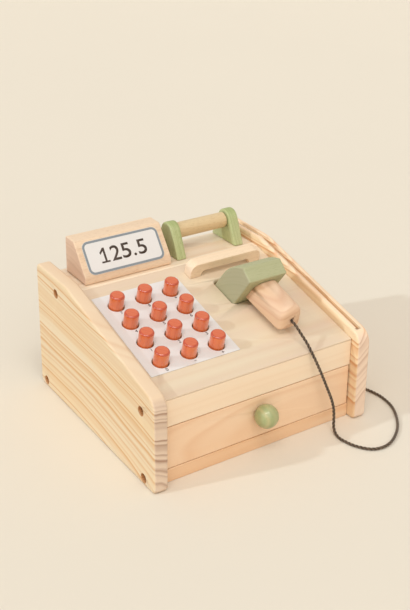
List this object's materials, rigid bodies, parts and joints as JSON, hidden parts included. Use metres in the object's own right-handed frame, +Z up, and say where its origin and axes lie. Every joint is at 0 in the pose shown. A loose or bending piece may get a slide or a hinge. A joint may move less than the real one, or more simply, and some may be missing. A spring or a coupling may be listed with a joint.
{
  "type": "toy cash register",
  "caption": "Wooden toy cash register with push buttons, a printed display, a sliding drawer, a roll holder, a card slot and a corded scanner.",
  "frame": {"origin": "centre of the footprint of the register without its cord, on the surface that it stands on", "axes": "+Z up, -Y towards the user and the drawer's knob, +X to the user's right, where the scanner and the card slot are"},
  "size_m": [0.3053, 0.3123, 0.179],
  "materials": {
    "yellow_pine": "matte",
    "pale_pine": "matte",
    "orange_pine": "matte",
    "pink_wood": "matte",
    "tan_wood": "matte",
    "grey_wood": "matte",
    "plywood": "matte",
    "green_stain": "matte",
    "red_stain": "gloss",
    "label_paper": "satin",
    "zinc_plated_steel": "satin",
    "brown_cord": "matte"
  },
  "bodies": {
    "case": {"left_side_panel": "yellow_pine", "right_side_panel": "yellow_pine", "rear_shelf": "pale_pine", "sloped_deck": "pale_pine", "front_rail": "pale_pine", "base_board": "pale_pine", "back_board": "pale_pine", "display_block": "pale_pine", "scanner_rest": "plywood", "button_tray": "plywood", "roll_bracket_left": "green_stain", "roll_bracket_right": "green_stain", "paper_guide": "grey_wood", "keypad_label": "label_paper", "display_label": "label_paper", "side_screw_left_1": "zinc_plated_steel", "side_screw_left_2": "zinc_plated_steel", "side_screw_left_3": "zinc_plated_steel", "side_screw_left_4": "zinc_plated_steel", "side_screw_right_1": "zinc_plated_steel", "side_screw_right_2": "zinc_plated_steel", "side_screw_right_3": "zinc_plated_steel", "side_screw_right_4": "zinc_plated_steel", "button_spring_01": "zinc_plated_steel", "button_spring_02": "zinc_plated_steel", "button_spring_03": "zinc_plated_steel", "button_spring_04": "zinc_plated_steel", "button_spring_05": "zinc_plated_steel", "button_spring_06": "zinc_plated_steel", "button_spring_07": "zinc_plated_steel", "button_spring_08": "zinc_plated_steel", "button_spring_09": "zinc_plated_steel", "button_spring_10": "zinc_plated_steel", "button_spring_11": "zinc_plated_steel", "button_spring_12": "zinc_plated_steel", "scanner_cord_upper": "brown_cord", "scanner_cord_lower": "brown_cord"},
    "drawer": {"drawer_front": "orange_pine", "drawer_left": "pale_pine", "drawer_right": "pale_pine", "drawer_back": "pale_pine", "drawer_bottom": "plywood", "drawer_knob": "green_stain", "knob_screw": "zinc_plated_steel"},
    "scanner": {"scanner_head": "green_stain", "scanner_handle": "pink_wood"},
    "spindle": {"roll_spindle": "tan_wood"},
    "button_01": {"button_01": "red_stain"},
    "button_02": {"button_02": "red_stain"},
    "button_03": {"button_03": "red_stain"},
    "button_04": {"button_04": "red_stain"},
    "button_05": {"button_05": "red_stain"},
    "button_06": {"button_06": "red_stain"},
    "button_07": {"button_07": "red_stain"},
    "button_08": {"button_08": "red_stain"},
    "button_09": {"button_09": "red_stain"},
    "button_10": {"button_10": "red_stain"},
    "button_11": {"button_11": "red_stain"},
    "button_12": {"button_12": "red_stain"}
  },
  "joints": [
    {"name": "drawer_slide", "type": "slide", "parent": "case", "child": "drawer", "axis": [0, -1, 0], "range_m": [0, 0.14], "deforming": ["scanner_cord_lower"]},
    {"name": "scanner_lift", "type": "slide", "parent": "case", "child": "scanner", "axis": [0, -0.2425, 0.9701], "range_m": [0, 0.04], "deforming": ["scanner_cord_upper"]},
    {"name": "roll_spin", "type": "hinge", "parent": "case", "child": "spindle", "pos_m": [0.0587, 0.0975, 0.163], "axis": [1, 0, 0], "continuous": true},
    {"name": "press_01", "type": "slide", "parent": "case", "child": "button_01", "axis": [0, 0.2425, -0.9701], "range_m": [0, 0.0045], "stiffness_N_per_m": 500, "deforming": ["button_spring_01"]},
    {"name": "press_02", "type": "slide", "parent": "case", "child": "button_02", "axis": [0, 0.2425, -0.9701], "range_m": [0, 0.0045], "stiffness_N_per_m": 500, "deforming": ["button_spring_02"]},
    {"name": "press_03", "type": "slide", "parent": "case", "child": "button_03", "axis": [0, 0.2425, -0.9701], "range_m": [0, 0.0045], "stiffness_N_per_m": 500, "deforming": ["button_spring_03"]},
    {"name": "press_04", "type": "slide", "parent": "case", "child": "button_04", "axis": [0, 0.2425, -0.9701], "range_m": [0, 0.0045], "stiffness_N_per_m": 500, "deforming": ["button_spring_04"]},
    {"name": "press_05", "type": "slide", "parent": "case", "child": "button_05", "axis": [0, 0.2425, -0.9701], "range_m": [0, 0.0045], "stiffness_N_per_m": 500, "deforming": ["button_spring_05"]},
    {"name": "press_06", "type": "slide", "parent": "case", "child": "button_06", "axis": [0, 0.2425, -0.9701], "range_m": [0, 0.0045], "stiffness_N_per_m": 500, "deforming": ["button_spring_06"]},
    {"name": "press_07", "type": "slide", "parent": "case", "child": "button_07", "axis": [0, 0.2425, -0.9701], "range_m": [0, 0.0045], "stiffness_N_per_m": 500, "deforming": ["button_spring_07"]},
    {"name": "press_08", "type": "slide", "parent": "case", "child": "button_08", "axis": [0, 0.2425, -0.9701], "range_m": [0, 0.0045], "stiffness_N_per_m": 500, "deforming": ["button_spring_08"]},
    {"name": "press_09", "type": "slide", "parent": "case", "child": "button_09", "axis": [0, 0.2425, -0.9701], "range_m": [0, 0.0045], "stiffness_N_per_m": 500, "deforming": ["button_spring_09"]},
    {"name": "press_10", "type": "slide", "parent": "case", "child": "button_10", "axis": [0, 0.2425, -0.9701], "range_m": [0, 0.0045], "stiffness_N_per_m": 500, "deforming": ["button_spring_10"]},
    {"name": "press_11", "type": "slide", "parent": "case", "child": "button_11", "axis": [0, 0.2425, -0.9701], "range_m": [0, 0.0045], "stiffness_N_per_m": 500, "deforming": ["button_spring_11"]},
    {"name": "press_12", "type": "slide", "parent": "case", "child": "button_12", "axis": [0, 0.2425, -0.9701], "range_m": [0, 0.0045], "stiffness_N_per_m": 500, "deforming": ["button_spring_12"]}
  ]
}
